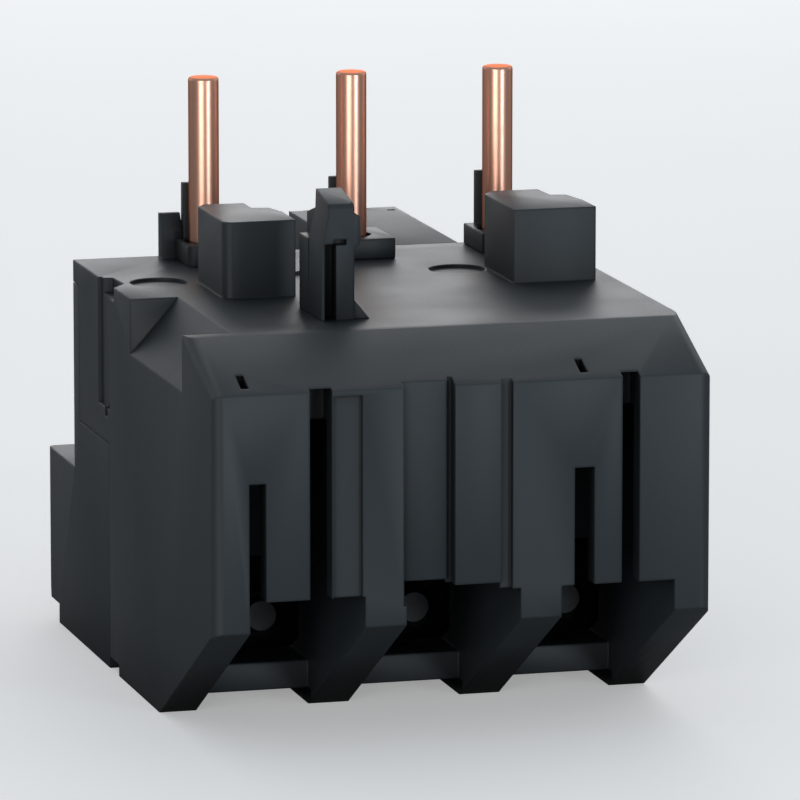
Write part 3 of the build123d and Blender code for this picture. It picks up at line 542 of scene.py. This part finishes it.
def swept(points: Sequence[Vector], outward: Sequence[Vector],
          section: Outline) -> bmesh.types.BMesh:
    """Sweep a flat section along a path.

    Args:
        points: The path, in metres.
        outward: The section's first direction at each point.
        section: Outline as (outward, across) in millimetres.

    Returns:
        The closed strip.
    """
    mesh = bmesh.new()
    rings = []
    for index, point in enumerate(points):
        ahead = points[min(index + 1, len(points) - 1)] - points[max(index - 1, 0)]
        slope = outward[index].dot(ahead) / ahead.length_squared
        out = (outward[index] - ahead * slope).normalized()
        across = ahead.normalized().cross(out)
        rings.append([mesh.verts.new(point + out * first * MM + across * second * MM)
                      for first, second in section])
    count = len(section)
    for near, far in zip(rings, rings[1:]):
        for index in range(count):
            following = (index + 1) % count
            mesh.faces.new((near[index], near[following], far[following], far[index]))
    mesh.faces.new(rings[0])
    mesh.faces.new(list(reversed(rings[-1])))
    bmesh.ops.recalc_face_normals(mesh, faces=mesh.faces)
    return mesh


def coiled(centre: Vector, axis: Axis, radius: float, rises: Sequence[float], per_turn: int,
           section: Outline) -> bmesh.types.BMesh:
    """Wind a section around an axis.

    Args:
        centre: A point on the axis, in metres.
        axis: Direction of the axis.
        radius: Radius of the path in millimetres.
        rises: Height along the axis at each step, in millimetres.
        per_turn: Steps in one turn.
        section: Outline as (outward, across) in millimetres.

    Returns:
        The closed coil.
    """
    direction = Vector(axis.value)
    first = Vector((1.0, 0.0, 0.0)) if axis is not Axis.X else Vector((0.0, 0.0, 1.0))
    second = direction.cross(first)
    points = []
    outward = []
    for index, rise in enumerate(rises):
        turn = math.tau * index / per_turn
        out = first * math.cos(turn) + second * math.sin(turn)
        points.append(centre + out * radius * MM + direction * rise * MM)
        outward.append(out)
    return swept(points, outward, section)


def ring_section(radius: float, sides: int = 10) -> list[tuple[float, float]]:
    """Return a round section of the given radius in millimetres."""
    turns = [math.tau * step / sides for step in range(sides)]
    return [(radius * math.cos(turn), radius * math.sin(turn)) for turn in turns]


def rounded_end(length: float, radius: float, turn: float,
                steps: int = 5) -> list[tuple[float, float]]:
    """Return outline points of a rounded rim that ends a round piece."""
    points = [(length - turn, radius)]
    for step in range(1, steps + 1):
        bend = step / steps * math.pi / 2
        points.append((length - turn + turn * math.sin(bend),
                       radius - turn + turn * math.cos(bend)))
    points.append((length, 0.0))
    return points


def joined(*meshes: bmesh.types.BMesh) -> bmesh.types.BMesh:
    """Put several meshes into the first one and free the others."""
    first = meshes[0]
    for other in meshes[1:]:
        carrier = bpy.data.meshes.new("carrier")
        other.to_mesh(carrier)
        other.free()
        first.from_mesh(carrier)
        bpy.data.meshes.remove(carrier)
    return first


def brick(low: Sequence[float], high: Sequence[float]) -> bmesh.types.BMesh:
    """Return a box between two corners given in metres."""
    mesh = bmesh.new()
    bmesh.ops.create_cube(mesh, size=1.0)
    size = [b - a for a, b in zip(low, high)]
    middle = [(a + b) / 2 for a, b in zip(low, high)]
    bmesh.ops.scale(mesh, vec=size, verts=mesh.verts)
    bmesh.ops.translate(mesh, vec=middle, verts=mesh.verts)
    return mesh


def carved(mesh: bmesh.types.BMesh, cutters: Sequence[bmesh.types.BMesh]) -> bmesh.types.BMesh:
    """Cut closed shapes out of a closed mesh.

    Args:
        mesh: The solid piece, freed here.
        cutters: Closed shapes, freed here. They may cross each other.

    Returns:
        What is left of the piece.
    """
    items = []
    for source in (mesh, joined(*cutters)):
        data = bpy.data.meshes.new("blank")
        source.to_mesh(data)
        source.free()
        items.append(added("blank", data))
    cut = items[0].modifiers.new("cut", "BOOLEAN")
    cut.operation = "DIFFERENCE"
    cut.solver = "EXACT"
    cut.use_self = True
    cut.object = items[1]
    result = bmesh.new()
    result.from_object(items[0], bpy.context.evaluated_depsgraph_get())
    for item in items:
        data = item.data
        bpy.data.objects.remove(item)
        bpy.data.meshes.remove(data)
    return result


@dataclass
class Pins:
    """Three drawn copper pins with a turned tip."""

    radius: float = 1.4
    tip: float = 0.28
    steps: int = 64
    sharp: float = 50.0

    def build(self, shop: Workshop) -> None:
        """Spin each pin over its solid."""
        for number in (1, 2, 3):
            node = f"pin_{number}"
            low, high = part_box(node)
            centre = Vector(((low.x + high.x) / 2, (low.y + high.y) / 2, low.z))
            outline = [(0.0, 0.0), (0.0, self.radius)]
            outline += rounded_end((high.z - low.z) / MM, self.radius, self.tip)
            shop.finish(f"contactor_pin_{number}", turned(outline, centre, Axis.Z, self.steps),
                        "pin_copper", shop.body_of[node], [node], self.sharp)


@dataclass
class Mouldings:
    """The dark mouldings, with softened edges."""

    edges: dict[str, EdgeBreak] = field(default_factory=lambda: {
        "main_housing": EdgeBreak(0.4, 1.2, 40.0),
        "front_housing": EdgeBreak(0.3, 1.2, 40.0),
        "control_cover": EdgeBreak(0.15, 1.0, 40.0),
        "mounting_hook": EdgeBreak(0.12, 0.6, 40.0),
        "pin_guide_1": EdgeBreak(0.12, 0.8, 40.0),
        "pin_guide_2": EdgeBreak(0.12, 0.8, 40.0),
        "pin_guide_3": EdgeBreak(0.12, 0.8, 40.0),
    })

    def build(self, shop: Workshop) -> None:
        """Soften a merged copy of each moulding."""
        for node, edges in self.edges.items():
            shop.soften_node(node, "body", edges)


@dataclass(frozen=True)
class ScrewSize:
    """Sizes of one kind of screw in millimetres. What is None follows from the solid."""

    pitch: float
    head_height: float
    slot_half: float
    slot_depth: float
    shank: float | None = None
    head: float | None = None
    slot_reach: float | None = None


@dataclass
class Screws:
    """Terminal screws with wound threads and cross slots, and their clamps and washers."""

    power: ScrewSize = ScrewSize(0.7, 2.6, 0.45, 1.5, shank=1.95, head=3.5, slot_reach=2.4)
    auxiliary: ScrewSize = ScrewSize(0.5, 1.8, 0.3, 1.0)
    clamp_edges: EdgeBreak = EdgeBreak(0.25, 0.4, 30.0, 3)
    washer_edges: EdgeBreak = EdgeBreak(0.15, 0.4, 30.0, 3)
    spin_steps: int = 56
    shank_step: float = 0.35
    slot_rim: float = 0.6
    end_chamfer: float = 0.3
    neck: float = 0.5
    collar: float = 0.3
    head_edge: float = 0.15
    crown_share: float = 0.45
    thread_depth: float = 0.32
    thread_share: float = 0.42
    thread_steps: int = 28
    thread_start: float = 0.35
    thread_margin: float = 0.9
    thread_sink: float = 0.05
    thread_crest: float = 0.06

    def build(self, shop: Workshop) -> None:
        """Make power and auxiliary screws and soften what they clamp."""
        for number in (1, 2, 3):
            self.screw(shop, f"terminal_screw_{number}", self.power)
            shop.soften_node(f"terminal_clamp_{number}", "pressed", self.clamp_edges)
        for number in (1, 2, 3, 4):
            self.screw(shop, f"aux_screw_{number}", self.auxiliary)
            shop.soften_node(f"aux_washer_{number}", "pressed", self.washer_edges)

    def screw(self, shop: Workshop, node: str, size: ScrewSize) -> None:
        """Make one screw whose head faces the relay's front.

        Args:
            shop: The workshop.
            node: CAD node it stands for.
            size: Sizes of its kind.
        """
        low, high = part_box(node)
        head = size.head or (high.x - low.x) / 2 / MM
        shank = size.shank or head - self.shank_step
        core = shank - self.thread_depth
        centre = Vector(((low.x + high.x) / 2, high.y, (low.z + high.z) / 2))
        length = (high.y - low.y) / MM
        under = length - size.head_height
        outline = [(0.0, 0.0), (0.0, core - self.end_chamfer), (-self.end_chamfer, core),
                   (-(under - self.neck), core), (-(under - self.collar), shank),
                   (-under, shank), (-under, head - self.head_edge),
                   (-(under + self.head_edge), head)]
        crown = rounded_end(length, head, size.head_height * self.crown_share)
        outline += [(-along, reach) for along, reach in crown]
        body = carved(turned(outline, centre, Axis.Y, self.spin_steps),
                      self.slot_cutters(size, head, centre, low.y))
        steps = int((under - self.thread_margin) / size.pitch * self.thread_steps)
        rises = [-self.thread_start - size.pitch * step / self.thread_steps
                 for step in range(steps)]
        half = size.pitch * self.thread_share
        section = [(-self.thread_sink, -half), (self.thread_depth, -self.thread_crest),
                   (self.thread_depth, self.thread_crest), (-self.thread_sink, half)]
        thread = coiled(centre, Axis.Y, core, rises, self.thread_steps, section)
        shop.stand_in(node, "turned", joined(body, thread))

    def slot_cutters(self, size: ScrewSize, head: float, centre: Vector,
                     face: float) -> list[bmesh.types.BMesh]:
        """Make the two bricks that cut the cross slot.

        Args:
            size: Sizes of the screw's kind.
            head: Radius of the head in millimetres.
            centre: A point on the screw's axis, in metres.
            face: Where the head's face lies along the axis, in metres.

        Returns:
            The two bricks.
        """
        reach = size.slot_reach or head - self.slot_rim
        bottom = face + size.slot_depth * MM
        return [brick((centre.x - wide * MM, face - MM, centre.z - tall * MM),
                      (centre.x + wide * MM, bottom, centre.z + tall * MM))
                for wide, tall in ((size.slot_half, reach), (reach, size.slot_half))]


@dataclass
class Springs:
    """Wound return springs of the two buttons."""

    wire: float = 0.22
    turns: int = 6
    per_turn: int = 36
    closed_pitch: float = 1.9

    def build(self, shop: Workshop) -> None:
        """Wind each spring inside the outer size of its solid."""
        for node in ("reset_spring", "stop_spring"):
            low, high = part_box(node)
            centre = Vector(((low.x + high.x) / 2, low.y, (low.z + high.z) / 2))
            radius = (high.z - low.z) / 2 / MM - self.wire
            coil = coiled(centre, Axis.Y, radius, self.rises((high.y - low.y) / MM),
                          self.per_turn, ring_section(self.wire))
            shop.stand_in(node, "wound", coil)

    def rises(self, length: float) -> list[float]:
        """Return the wire's height at each step, with one closed turn at each end.

        Args:
            length: Length of the spring in millimetres.

        Returns:
            Heights in millimetres.
        """
        travel = length - 2 * self.wire - 2 * self.wire * self.closed_pitch
        heights = []
        for step in range((self.turns + 2) * self.per_turn + 1):
            turn = step / self.per_turn
            free = min(max(turn - 1.0, 0.0), self.turns) / self.turns
            closed = min(turn, 1.0) + max(turn - self.turns - 1.0, 0.0)
            heights.append(self.wire + travel * free + closed * self.wire * self.closed_pitch)
        return heights


@dataclass
class Heaters:
    """The square heater turns around each bimetal, with broken edges."""

    edges: EdgeBreak = EdgeBreak(0.08, angle=40.0)

    def build(self, shop: Workshop) -> None:
        """Break the edges of each heater."""
        for number in (1, 2, 3):
            shop.soften_node(f"heater_{number}", "ribbon", self.edges)


@dataclass
class Strips:
    """Stamped conductors, contact blades and bimetals with broken edges."""

    slots: tuple[str, ...] = ("conductor_copper", "bimetal", "contact_brass")
    edges: EdgeBreak = EdgeBreak(0.12)

    def build(self, shop: Workshop) -> None:
        """Break the edges of every stamped strip."""
        for node, slot in shop.slot_of.items():
            if slot in self.slots:
                shop.soften_node(node, "strip", self.edges)


@dataclass
class Mechanism:
    """Trip parts, frame, plunger, flag and test button, and the two pins they turn on."""

    moulded: tuple[str, ...] = (
        "trip_bar", "differential_bar", "trip_lever", "contact_rocker", "adjusting_lever",
        "mechanism_frame", "reset_plunger", "test_button", "trip_flag")
    pins: tuple[str, ...] = ("lever_pin", "rocker_pin")
    edges: EdgeBreak = EdgeBreak(0.12)
    pin_chamfer: float = 0.1
    pin_tip: float = 0.15
    pin_steps: int = 40

    def build(self, shop: Workshop) -> None:
        """Soften each moulded part and spin the pins."""
        for node in self.moulded:
            shop.soften_node(node, "moulded", self.edges)
        for node in self.pins:
            low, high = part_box(node)
            centre = Vector(((low.x + high.x) / 2, (low.y + high.y) / 2, low.z))
            radius = (high.x - low.x) / 2 / MM
            outline = [(0.0, 0.0), (0.0, radius - self.pin_chamfer), (self.pin_chamfer, radius)]
            outline += rounded_end((high.z - low.z) / MM, radius, self.pin_tip)
            shop.stand_in(node, "turned", turned(outline, centre, Axis.Z, self.pin_steps))


@dataclass
class Controls:
    """Dial, buttons and clear cover of the recessed face."""

    edge_radii: tuple[tuple[str, float], ...] = (
        ("dial", 0.15), ("reset_button", 0.2), ("stop_button", 0.22), ("sealing_cover", 0.15))
    edge_segments: int = 3
    numbers: tuple[str, ...] = ("1.0", "1.1", "1.2", "1.3", "1.4", "1.5", "1.6")
    number_reach: float = 3.8
    number_size: float = 0.85
    sweep: float = 270.0
    dial_x: float = -7.6
    dial_z: float = 24.6
    ink_lift: float = 0.01

    def build(self, shop: Workshop) -> None:
        """Make the visible controls."""
        for node, radius in self.edge_radii:
            shop.soften_node(node, "shaped", EdgeBreak(radius, segments=self.edge_segments))
        self.print_numbers(shop)

    def print_numbers(self, shop: Workshop) -> None:
        """Print the numbers of the setting scale on the dial."""
        low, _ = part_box("dial")
        centre = Vector((self.dial_x * MM, low.y - self.ink_lift * MM, self.dial_z * MM))
        gaps = len(self.numbers) - 1
        inks = [self.number(text, centre, math.radians(self.sweep * (index / gaps - 0.5)))
                for index, text in enumerate(self.numbers)]
        shop.finish("dial_numbers", joined(*inks), "test_moulding", shop.body_of["dial"])

    def number(self, text: str, centre: Vector, turn: float) -> bmesh.types.BMesh:
        """Return one flat number, turned about the dial's axis."""
        curve = bpy.data.curves.new("number", "FONT")
        curve.body = text
        curve.size = self.number_size * MM
        curve.align_x = "CENTER"
        curve.align_y = "CENTER"
        item = added("number", curve)
        mesh = bmesh.new()
        mesh.from_mesh(item.evaluated_get(bpy.context.evaluated_depsgraph_get()).to_mesh())
        bpy.data.objects.remove(item)
        bpy.data.curves.remove(curve)
        place = (Matrix.Translation(centre) @ Matrix.Rotation(turn, 4, "Y")
                 @ Matrix.Translation((0.0, 0.0, self.number_reach * MM))
                 @ Matrix.Rotation(math.pi / 2, 4, "X"))
        bmesh.ops.transform(mesh, matrix=place, verts=mesh.verts)
        return mesh


def aimed(item: bpy.types.Object, place: Sequence[float], direction: Sequence[float]) -> None:
    """Put a light or camera at a place, looking along a direction."""
    item.location = place
    item.rotation_mode = "QUATERNION"
    item.rotation_quaternion = Vector(direction).to_track_quat("-Z", "Y")


@dataclass(frozen=True)
class Lamp:
    """A soft square area light that faces the relay's middle at the aim's height."""

    name: str
    place: Triple
    aim: float
    size: float
    power: float
    colour: Colour = (1.0, 1.0, 1.0)

    def hang(self) -> None:
        """Add the light to the scene."""
        data = bpy.data.lights.new(self.name, "AREA")
        data.shape = "SQUARE"
        data.size = self.size
        data.energy = self.power
        data.color = self.colour
        aimed(added(self.name, data), self.place, Vector((0.0, 0.0, self.aim)) - Vector(self.place))


@dataclass
class Studio:
    """Pale floor, soft light and the camera of the photograph."""

    eye: Triple = (0.178456, 0.663039, 0.150564)
    gaze: Triple = (-0.2617, -0.9480, -0.1814)
    lens: float = 344.7
    sensor: float = 36.0
    nearest: float = 0.01
    floor_size: float = 6.0
    floor_glow: float = 0.3
    bounce_grey: float = 0.3
    fibre_scale: float = 35.0
    paper: tuple[Colour, Colour] = ((0.95, 0.95, 0.94), (0.98, 0.98, 0.97))
    sky_side: float = 0.35
    sky_height: float = 0.45
    sky_stops: tuple[tuple[float, Colour], ...] = (
        (0.30, (0.72, 0.73, 0.75)), (0.50, (0.27, 0.30, 0.33)))
    lamps: tuple[Lamp, ...] = (
        Lamp("top_soft", (-0.1, -0.3, 0.9), 0.02, 0.7, 0.3),
        Lamp("rear_soft", (-0.35, 0.85, 0.13), 0.02, 0.24, 1.7, (0.84, 0.93, 1.0)),
        Lamp("front_soft", (-0.26, -0.90, 0.27), 0.03, 0.4, 1.2),
        Lamp("pin_strip", (0.50, 0.82, 0.14), 0.04, 0.45, 3.2, (1.0, 0.98, 0.95)))

    def build(self) -> None:
        """Make floor, world, lights and camera."""
        self.floor()
        self.sky()
        for lamp in self.lamps:
            lamp.hang()
        self.camera()

    def floor(self) -> None:
        """Lay the pale floor under the feet. What bounces off it is dimmed, as by black flags."""
        mesh = bmesh.new()
        bmesh.ops.create_grid(mesh, x_segments=1, y_segments=1, size=self.floor_size / 2)
        data = bpy.data.meshes.new("studio_floor")
        mesh.to_mesh(data)
        mesh.free()
        bench = Bench.for_material("floor_paper")
        paint = bench.blend(bench.noise(bench.place(), self.fibre_scale, 4.0), *self.paper)
        seen = bench.node("ShaderNodeBsdfPrincipled", None, {
            "Base Color": paint, "Roughness": 0.9, "Specular IOR Level": 0.1,
            "Emission Color": WHITE, "Emission Strength": self.floor_glow})
        grey = (self.bounce_grey, self.bounce_grey, self.bounce_grey, 1.0)
        bounce = bench.node("ShaderNodeBsdfDiffuse", None, {"Color": grey})
        direct = bench.node("ShaderNodeLightPath", output="Is Camera Ray")
        mix = bench.node("ShaderNodeMixShader", None, {0: direct, 1: bounce, 2: seen})
        data.materials.append(bench.close(mix))
        floor = added("studio_floor", data)

    def sky(self) -> None:
        """Light the room softly, brightest low on the relay's front side, seen as plain white."""
        world = bpy.data.worlds.new("studio_air")
        bpy.context.scene.world = world
        bench = Bench(world)
        x, y, z = bench.split(bench.node("ShaderNodeTexCoord", output="Generated"))
        share = (z * self.sky_height + (x * self.sky_side + y)) * 0.5 + 0.5
        glow = bench.node("ShaderNodeValToRGB", {"stops": self.sky_stops}, {0: share})
        lit = bench.node("ShaderNodeBackground", None, {"Color": glow})
        seen = bench.node("ShaderNodeBackground", None, {"Color": WHITE})
        direct = bench.node("ShaderNodeLightPath", output="Is Camera Ray")
        mix = bench.node("ShaderNodeMixShader", None, {0: direct, 1: lit, 2: seen})
        bench.close(mix, "ShaderNodeOutputWorld")

    def camera(self) -> None:
        """Set the camera of the photograph."""
        data = bpy.data.cameras.new("photo_camera")
        data.lens = self.lens
        data.sensor_width = self.sensor
        data.clip_start = self.nearest
        item = added("photo_camera", data)
        aimed(item, self.eye, self.gaze)
        bpy.context.scene.camera = item


def main() -> None:
    """Build the scene in order."""
    logging.basicConfig(level=logging.INFO, format="%(name)s: %(message)s")
    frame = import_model()
    bpy.context.scene.view_settings.view_transform = "Standard"
    Studio().build()
    shop = Workshop(frame, Finishes())
    Mouldings().build(shop)
    for assembly in (Pins(), Screws(), Springs(), Heaters(), Strips(), Mechanism(), Controls()):
        assembly.build(shop)
    shop.dress_rest()


if __name__ == "__main__":
    main()
